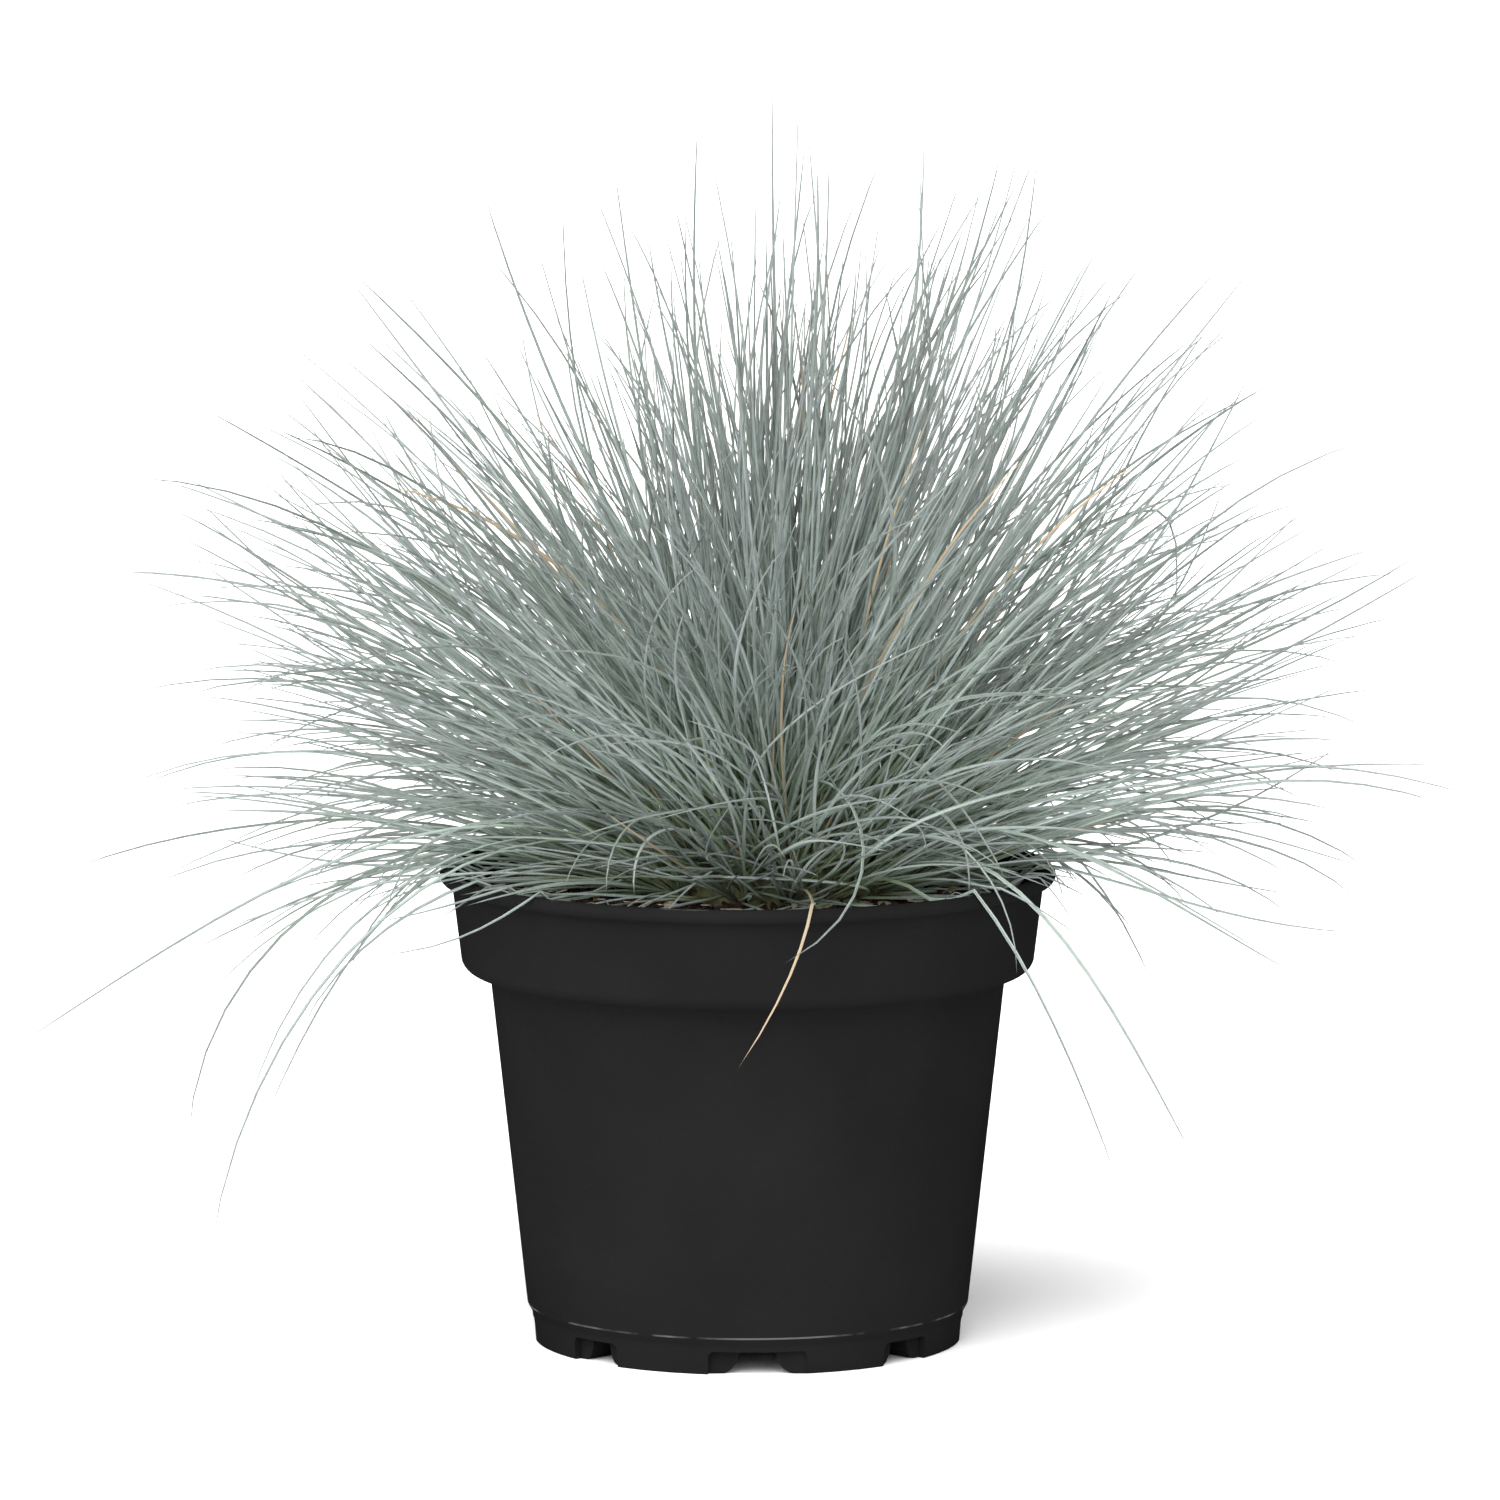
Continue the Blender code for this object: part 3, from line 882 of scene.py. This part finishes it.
def tuft_blades(node_name, rng):
    """Paths of a tuft's leaves. They stand in shoots of a few leaves each, and follow the tuft's bend."""
    spine = spine_of(node_name)
    azimuth, lean = angles_of(spine[1] - spine[0])
    tip_azimuth, tip_lean = angles_of(spine[-1] - spine[-2])
    reach = np.linalg.norm(np.diff(spine, axis=0), axis=1).sum()
    droop = tip_lean - lean if lean > 8 else 10.0
    tillers = round(TILLERS * growth(directions(azimuth, lean))[1])
    shoots = rng.normal(size=(tillers, 2)) * (9.0, 7.5)
    spread = 1 / max(math.sin(math.radians(lean)), 0.28)
    count = tillers * BLADES_PER_TILLER
    shoot = np.repeat(np.arange(tillers), BLADES_PER_TILLER)
    apart = rng.normal(size=(tillers, 2)) * (15.0, 14.0)
    start_azimuth = azimuth + (shoots + apart)[shoot, 0] * spread
    start_lean = lean + (shoots + apart)[shoot, 1]
    start = np.array(CROWN_CENTRE) + directions(start_azimuth, start_lean) * (CROWN_RADIUS - 0.002)
    start += rng.normal(0, 0.0006, (count, 3))
    leaf_azimuth = azimuth + shoots[shoot, 0] * spread + rng.normal(0, 19, count) * spread
    leaf_lean = lean + shoots[shoot, 1] + rng.normal(0, 15, count)
    size = np.clip(rng.normal(1.0, 0.20, count), 0.40, 1.35)
    size = np.where(rng.random(count) < 0.10, size * 1.25, size)
    size = np.clip(size * growth(directions(leaf_azimuth, leaf_lean))[:, 0], 0.25, 1.22)
    bend = droop * rng.uniform(0.0, 1.5, count) + rng.normal(0, 11, count)
    drift = rng.normal(0, 15, count) * spread
    power = rng.uniform(1.1, 2.4, count)
    waviness = rng.normal(0, 2.2, count)[:, None]
    waves = rng.uniform(3, 7, count)[:, None]
    wave = waviness * np.sin(STEP_SHARES * waves + rng.uniform(0, 6, count)[:, None])
    leans = leaf_lean[:, None] + bend[:, None] * STEP_SHARES ** power[:, None] + wave
    azimuths = leaf_azimuth[:, None] + drift[:, None] * STEP_SHARES**1.3 + wave
    paths = walked(start, azimuths, leans, reach * size)
    over_lip = (paths[..., 1] < FRONT_OF_LIP) & (paths[..., 2] < LOWEST_OVER_LIP)
    over_lip &= np.hypot(paths[..., 0], paths[..., 1]) > LIP_RADIUS - 0.001
    free = ~over_lip.any(1)
    return paths[free], size[free]


def columns_for(rng, count, dry_share=0.008):
    """Each leaf's column on the colour map: the first few are dry straw."""
    living = rng.integers(DRY_COLUMNS, COLUMNS, count)
    return np.where(rng.random(count) < dry_share, rng.integers(0, DRY_COLUMNS, count), living)


def make_tufts(material):
    """Each tuft's leaves in place of its solid."""
    for number, node_name in enumerate(sorted(name for name in nodes if name.startswith("tuft_"))):
        rng = np.random.default_rng((11, number))
        paths, size = tuft_blades(node_name, rng)
        count = len(paths)
        widths = BLADE_WIDTH * rng.uniform(0.78, 1.18, count) * (0.6 + 0.4 * np.clip(size, 0, 1))
        rolls = rng.normal(0, 0.9, count)
        mesh = blades_mesh(node_name + "_blades", paths, widths, columns_for(rng, count), rolls)
        made = piece(node_name + "_blades", mesh, material)
        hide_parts(node_name)


def curve_path(tip, azimuth, lean, tip_azimuth, tip_lean, pull=0.42):
    """Points of one leaf on a smooth curve from the crown to its tip, with its direction at both ends."""
    start = CROWN_CENTRE + leaning(azimuth, lean) * (CROWN_RADIUS - 0.002)
    end = Vector(tip)
    reach = (end - start).length * pull
    first = start + leaning(azimuth, lean) * reach
    second = end - leaning(tip_azimuth, tip_lean) * reach
    t = np.linspace(0, 1, SEGMENTS + 1)[:, None]
    return (
        np.array(start) * (1 - t) ** 3
        + np.array(first) * 3 * t * (1 - t) ** 2
        + np.array(second) * 3 * t * t * (1 - t)
        + np.array(end) * t**3
    )


# The ten long leaves of the frame: tip, azimuth and lean at the crown, lean at the tip
LONG_LEAVES = (
    ((-0.221, -0.130, 0.109), -54, 62, 118),
    ((0.216, 0.090, 0.236), 108, 55, 62),
    ((0.018, -0.022, 0.380), 42, 14, -26),
    ((0.090, 0.030, 0.371), 88, 24, 6),
    ((-0.128, 0.020, 0.334), -88, 30, 38),
    ((-0.162, -0.085, 0.041), -63, 60, 172),
    ((0.134, -0.096, 0.072), 51, 60, 146),
    ((-0.040, 0.202, 0.215), 188, 50, 88),
    ((0.105, -0.200, 0.225), 27, 44, 84),
    ((0.130, 0.122, 0.090), 134, 58, 150),
)

# Single leaves at the clump's outline: tip, azimuth and lean at the crown, azimuth and lean at the tip
TOP_LEAVES = (
    ((0.044, 0.020, 0.371), 95, 8, 80, 24),
    ((0.077, -0.030, 0.366), 60, 12, 80, 35),
    ((-0.013, 0.015, 0.372), -60, 4, -90, 13),
    ((-0.024, -0.020, 0.361), -60, 6, -90, 13),
    ((-0.057, 0.020, 0.359), -85, 24, -90, 0),
    ((-0.066, -0.030, 0.349), -70, 20, -85, 15),
    ((-0.051, 0.040, 0.360), -110, 12, -90, 23),
    ((0.011, -0.035, 0.354), -60, 8, 80, 14),
    ((-0.055, -0.050, 0.321), -40, 20, -90, 2),
    ((-0.048, -0.010, 0.342), -70, 14, -90, 24),
    ((-0.032, 0.050, 0.344), -120, 8, -90, 8),
    ((-0.023, -0.040, 0.345), -40, 5, 90, 2),
    ((-0.031, -0.050, 0.338), -50, 2, -85, 27),
    ((-0.016, 0.060, 0.339), -170, 4, -90, 4),
    ((-0.010, -0.060, 0.352), -20, 4, -90, 9),
    ((-0.006, 0.030, 0.347), -90, 8, 90, 18),
    ((0.000, -0.030, 0.340), 0, 3, 90, 0),
    ((0.004, 0.050, 0.338), -90, 4, 90, 10),
    ((0.000, 0.020, 0.333), 60, 4, -90, 26),
    ((0.011, -0.055, 0.323), 10, 5, -90, 3),
    ((0.023, 0.040, 0.341), 150, 4, -90, 7),
    ((0.021, -0.060, 0.329), 0, 4, 90, 8),
    ((0.030, -0.015, 0.346), 60, 4, 90, 5),
    ((0.036, 0.055, 0.343), 150, 8, 90, 4),
    ((0.040, 0.030, 0.331), 120, 14, -90, 17),
    ((0.047, -0.050, 0.338), 30, 8, 90, 0),
    ((0.050, 0.020, 0.347), 100, 14, -90, 15),
    ((0.056, -0.040, 0.352), 50, 12, 90, 4),
    ((0.064, 0.020, 0.352), 110, 12, 90, 30),
    ((0.068, -0.060, 0.348), 40, 12, 90, 8),
    ((0.070, 0.045, 0.344), 140, 12, 90, 14),
    ((0.073, 0.000, 0.347), 90, 14, 90, 17),
    ((0.075, -0.070, 0.333), 40, 14, -90, 0),
    ((0.087, -0.035, 0.345), 70, 16, 90, 14),
    ((0.085, 0.050, 0.321), 120, 16, 90, 28),
    ((0.090, -0.060, 0.328), 50, 18, 90, 12),
    ((0.095, 0.030, 0.333), 100, 18, 90, 16),
    ((0.097, -0.080, 0.315), 50, 20, 90, 15),
    ((0.108, 0.010, 0.338), 90, 20, 90, 18),
    ((0.109, -0.040, 0.323), 70, 22, 90, 21),
)
LEFT_LEAVES = (
    ((-0.143, 0.000, 0.300), -88, 48, -90, 37),
    ((-0.143, 0.040, 0.289), -110, 46, -90, 35),
    ((-0.146, -0.040, 0.285), -70, 48, -90, 43),
    ((-0.122, 0.060, 0.287), -120, 44, -90, 22),
    ((-0.110, -0.060, 0.283), -60, 40, -90, 20),
    ((-0.108, 0.030, 0.290), -100, 34, -90, 38),
    ((-0.104, -0.030, 0.292), -80, 32, -90, 32),
    ((-0.096, -0.050, 0.303), -60, 36, -90, -2),
    ((-0.089, 0.050, 0.299), -120, 26, -90, 22),
    ((-0.081, -0.010, 0.302), -80, 24, -90, 22),
    ((-0.175, 0.010, 0.265), -90, 62, -90, 46),
    ((-0.179, -0.040, 0.257), -75, 58, -90, 64),
    ((-0.157, 0.050, 0.266), -110, 54, -90, 50),
    ((-0.142, -0.070, 0.269), -60, 50, -90, 45),
    ((-0.172, 0.060, 0.249), -110, 62, -90, 72),
    ((-0.197, 0.000, 0.239), -90, 62, -90, 72),
    ((-0.186, -0.050, 0.232), -75, 56, -90, 102),
    ((-0.178, 0.040, 0.242), -100, 60, -90, 55),
    ((-0.175, -0.020, 0.230), -85, 62, -90, 72),
    ((-0.160, -0.060, 0.204), -70, 54, -90, 125),
    ((-0.147, -0.070, 0.249), -65, 52, -90, 86),
    ((-0.145, 0.020, 0.254), -95, 44, -90, 108),
    ((-0.152, 0.060, 0.219), -110, 66, -90, 58),
    ((-0.152, 0.030, 0.201), -100, 76, -90, 84),
    ((-0.169, -0.030, 0.195), -80, 72, -90, 98),
    ((-0.137, -0.060, 0.191), -70, 74, -90, 86),
    ((-0.170, 0.020, 0.185), -95, 78, -90, 96),
    ((-0.167, -0.040, 0.182), -80, 78, -90, 97),
    ((-0.183, 0.000, 0.170), -90, 82, -90, 91),
    ((-0.165, -0.050, 0.171), -78, 76, -90, 92),
    ((-0.182, 0.030, 0.165), -98, 84, -90, 89),
    ((-0.181, -0.040, 0.148), -80, 66, -90, 118),
    ((-0.167, 0.010, 0.149), -90, 66, -90, 120),
    ((-0.168, -0.020, 0.160), -85, 84, -90, 72),
    ((-0.138, -0.060, 0.171), -68, 58, -90, 125),
    ((-0.147, -0.050, 0.145), -72, 58, -90, 128),
    ((-0.115, -0.070, 0.138), -60, 80, -90, 100),
    ((-0.110, -0.060, 0.139), -65, 60, -90, 170),
    ((-0.172, -0.030, 0.124), -80, 72, -90, 118),
    ((-0.172, -0.020, 0.063), -85, 62, -90, 178),
    ((-0.150, 0.010, 0.065), -90, 66, -90, 158),
    ((-0.152, -0.060, 0.080), -72, 60, -90, 165),
    ((-0.114, -0.085, 0.130), -50, 86, -90, 92),
    ((-0.161, 0.040, 0.116), -100, 74, -90, 125),
)
RIGHT_LEAVES = (
    ((0.146, 0.020, 0.318), 95, 52, 90, 36),
    ((0.155, -0.030, 0.308), 80, 48, 90, 25),
    ((0.161, 0.040, 0.295), 105, 50, 90, 52),
    ((0.120, -0.050, 0.303), 70, 34, 90, 44),
    ((0.113, 0.050, 0.312), 110, 30, 90, 50),
    ((0.115, 0.000, 0.306), 90, 30, 90, 32),
    ((0.111, -0.020, 0.330), 80, 26, 90, 19),
    ((0.122, -0.070, 0.297), 60, 34, 90, 25),
    ((0.124, 0.060, 0.276), 110, 44, 90, 36),
    ((0.143, -0.050, 0.279), 75, 50, 90, 42),
    ((0.148, 0.010, 0.274), 90, 54, 90, 60),
    ((0.147, -0.060, 0.268), 70, 52, 90, 44),
    ((0.150, 0.050, 0.266), 110, 58, 90, 16),
    ((0.195, 0.030, 0.277), 95, 56, 90, 73),
    ((0.173, -0.040, 0.267), 80, 56, 90, 44),
    ((0.181, 0.000, 0.256), 90, 56, 90, 64),
    ((0.190, 0.040, 0.222), 98, 62, 90, 60),
    ((0.188, -0.020, 0.222), 85, 64, 90, 71),
    ((0.191, 0.030, 0.216), 95, 66, 90, 68),
    ((0.188, -0.050, 0.213), 80, 66, 90, 66),
    ((0.193, -0.030, 0.192), 84, 60, 90, 117),
    ((0.170, 0.050, 0.199), 105, 70, 90, 90),
    ((0.186, 0.000, 0.187), 90, 82, 90, 55),
    ((0.174, -0.060, 0.186), 76, 76, 90, 88),
    ((0.168, 0.060, 0.190), 105, 76, 90, 72),
    ((0.193, -0.020, 0.148), 86, 64, 90, 108),
    ((0.152, 0.040, 0.163), 100, 70, 90, 112),
    ((0.148, 0.010, 0.149), 92, 80, 90, 98),
    ((0.173, 0.030, 0.133), 96, 84, 90, 98),
    ((0.188, -0.020, 0.129), 86, 84, 90, 93),
    ((0.166, -0.080, 0.125), 50, 56, 80, 118),
    ((0.160, -0.060, 0.127), 60, 58, 85, 120),
    ((0.112, -0.080, 0.061), 35, 66, 60, 158),
    ((0.081, -0.085, 0.126), 40, 45, -20, 178),
    ((0.096, -0.050, 0.141), 60, 55, 90, 178),
    ((0.102, -0.070, 0.134), 50, 70, 80, 125),
    ((0.131, 0.020, 0.217), 80, 38, 90, 188, 0.75),
)
FRONT_LEAVES = (
    ((0.011, -0.108, 0.133), 6, 35, -72, 115, 0.66),
    ((0.079, -0.075, 0.151), 20, 24, 60, 152, 0.55),
    ((0.0665, -0.084, 0.149), 48, 45, -30, 172),
    ((-0.0425, -0.080, 0.149), -35, 45, 20, 170),
    ((-0.034, -0.083, 0.149), -28, 52, 30, 166),
    ((-0.032, -0.066, 0.153), 40, 75, -80, 90),
    ((-0.087, -0.070, 0.148), -50, 76, -75, 100),
    ((-0.092, -0.062, 0.150), -60, 72, -80, 105),
    ((-0.085, -0.078, 0.146), -45, 76, -75, 104),
)
DEAD_LEAVES = (((-0.003, -0.112, 0.101), 7, 70, -68, 143, 0.62),)


def make_long_leaves(material, rng):
    """The long leaves that reach out of the clump, each in place of its solid."""
    for number, (tip, azimuth, lean, tip_lean) in enumerate(LONG_LEAVES, 1):
        start = CROWN_CENTRE + leaning(azimuth, lean) * CROWN_RADIUS
        away = math.degrees(math.atan2(tip[0] - start.x, start.y - tip[1]))
        paths = led_to_tips([(tip, azimuth, lean, away, tip_lean)])
        widths = np.array([BLADE_WIDTH * 1.1])
        name = f"long_leaf_{number:02d}"
        mesh = blades_mesh(name, paths, widths, columns_for(rng, 1, 0), rng.normal(0, 0.5, 1))
        made = piece(name, mesh, material)
        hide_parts(f"leaf_{number:02d}")


def companions(leaves, rng):
    """Two shorter leaves from the same shoot beside each of these."""
    made = []
    for (x, y, z), *ways in leaves * 2:
        shorter = rng.uniform(0.82, 0.97)
        place = CROWN_CENTRE + (Vector((x, y, z)) - CROWN_CENTRE) * shorter
        aside = rng.normal(0, (0.006, 0.016, 0.0))
        made.append((tuple(np.array(place) + aside), ways[0], ways[1] + rng.normal(0, 4), *ways[2:]))
    return made


def make_outline_leaves(material, rng):
    """The single leaves that stand out at the top, the sides and the front."""
    crowded = [leaf for leaf in TOP_LEAVES if leaf[0][0] > 0.040]
    groups = {
        "top_leaves": [*TOP_LEAVES, *companions(crowded, rng)],
        "left_leaves": LEFT_LEAVES,
        "right_leaves": RIGHT_LEAVES,
        "front_leaves": FRONT_LEAVES,
        "dead_leaf": DEAD_LEAVES,
    }
    for name, leaves in groups.items():
        paths = led_to_tips(leaves)
        count = len(leaves)
        widths = BLADE_WIDTH * rng.uniform(0.85, 1.1, count)
        columns = columns_for(rng, count, 1.0 if name == "dead_leaf" else 0.0)
        mesh = blades_mesh(name, paths, widths, columns, rng.normal(0, 0.7, count))
        piece(name, mesh, material)


# Crown


def make_crown(sheath_finish, leaf_finish, rng):
    """The ridged heart of the clump, and the short dry sheaths and young leaves packed round it."""
    foot = SOIL_TOP - 0.001
    lowest = math.degrees(math.asin((foot - CROWN_CENTRE.z) / CROWN_RADIUS))
    dome = arc_points((0.0, CROWN_CENTRE.z), CROWN_RADIUS - 0.0035, 90, lowest, 22)
    bm = turned([(0.0, dome[0][1]), *dome[1:], (0.0, foot)], 96, (CROWN_CENTRE.x, 0.0, 0.0))
    for vertex in bm.verts:
        if vertex.co.z > foot + 0.0005:
            way = (vertex.co - CROWN_CENTRE).normalized()
            vertex.co += way * (noise.noise(way * 28) * 0.0022 + noise.noise(way * 60) * 0.0012)
    heart = piece("crown_heart", bm_mesh("crown_heart", bm), sheath_finish, 50)
    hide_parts("crown")
    count = YOUNG_LEAVES
    azimuth = rng.uniform(0, 360, count)
    lean = np.degrees(np.arccos(rng.uniform(0.32, 1.0, count)))
    start = np.array(CROWN_CENTRE) + directions(azimuth, lean) * (CROWN_RADIUS - 0.004)
    length = rng.uniform(0.030, 0.095, count)
    leans = lean[:, None] + rng.normal(0, 9, count)[:, None]
    leans = leans + rng.normal(3, 9, count)[:, None] * STEP_SHARES
    azimuths = azimuth[:, None] + rng.normal(0, 14, count)[:, None] * (0.5 + STEP_SHARES)
    paths = walked(start, azimuths, leans, length)
    widths = BLADE_WIDTH * rng.uniform(0.7, 1.3, count)
    columns = columns_for(rng, count, 0.18)
    mesh = blades_mesh("young_leaves", paths, widths, columns, rng.normal(0, 1.0, count))
    young = piece("young_leaves", mesh, leaf_finish)


# Stage


def make_sky():
    """A white studio all round, brightest in front, to the left and above."""
    world = bpy.data.worlds.new("studio")
    world.use_nodes = True
    sky, links = world.node_tree.nodes, world.node_tree.links
    place = sky.new("ShaderNodeTexCoord").outputs["Generated"]
    facing = sky.new("ShaderNodeVectorMath")
    facing.operation = "DOT_PRODUCT"
    facing.inputs[1].default_value = Vector(SKY_BRIGHT_SIDE).normalized()
    links.new(place, facing.inputs[0])
    glow = sky.new("ShaderNodeMapRange")
    glow.interpolation_type = "SMOOTHSTEP"
    for name, value in (("From Min", 0.1), ("From Max", 1.0), ("To Min", 0.20), ("To Max", 3.2)):
        glow.inputs[name].default_value = value
    links.new(facing.outputs["Value"], glow.inputs["Value"])
    links.new(glow.outputs["Result"], sky["Background"].inputs["Strength"])
    sky["Background"].inputs["Color"].default_value = (1.0, 1.0, 1.0, 1.0)
    bpy.context.scene.world = world


def make_floor():
    """A plain pale floor."""
    bm = bmesh.new()
    bmesh.ops.create_grid(bm, x_segments=1, y_segments=1, size=FLOOR_SIZE)
    mesh = bpy.data.meshes.new("floor")
    bm.to_mesh(mesh)
    bm.free()
    floor = bpy.data.objects.new("floor", mesh)
    bpy.context.scene.collection.objects.link(floor)
    finish, _, _, shader = new_material("floor_paint")
    shader.inputs["Base Color"].default_value = (0.92, 0.92, 0.92, 1.0)
    shader.inputs["Roughness"].default_value = 0.9
    shader.inputs["Specular IOR Level"].default_value = 0.0
    mesh.materials.append(finish)


def make_key_light():
    """One wide, soft light from above, in front and to the left."""
    light = bpy.data.lights.new("key", "SUN")
    light.angle = math.radians(KEY_ANGLE)
    light.energy = KEY_STRENGTH
    lamp = bpy.data.objects.new("key", light)
    way = leaning(KEY_AZIMUTH, KEY_LEAN)
    lamp.location = way * 3.0
    lamp.rotation_euler = way.to_track_quat("Z", "Y").to_euler()
    bpy.context.scene.collection.objects.link(lamp)


def make_camera():
    """A long lens in front of the pot, a little above the leaves, looking slightly down."""
    data = bpy.data.cameras.new("camera")
    data.sensor_width = 36.0
    data.lens = LENS
    data.clip_end = 100.0
    camera = bpy.data.objects.new("camera", data)
    camera.location = CAMERA_PLACE
    camera.rotation_euler = (math.radians(90 - CAMERA_PITCH), 0.0, 0.0)
    bpy.context.scene.collection.objects.link(camera)
    bpy.context.scene.camera = camera


def main():
    """Builds the stage and every piece."""
    bpy.context.scene.view_settings.view_transform = "Standard"
    make_camera()
    make_sky()
    make_floor()
    make_key_light()
    leaf = leaf_material()
    make_pot(pot_material())
    make_soil(soil_material(), litter_material(), np.random.default_rng(3))
    make_crown(sheath_material(), leaf, np.random.default_rng(5))
    make_tufts(leaf)
    make_long_leaves(leaf, np.random.default_rng(7))
    make_outline_leaves(leaf, np.random.default_rng(13))


main()
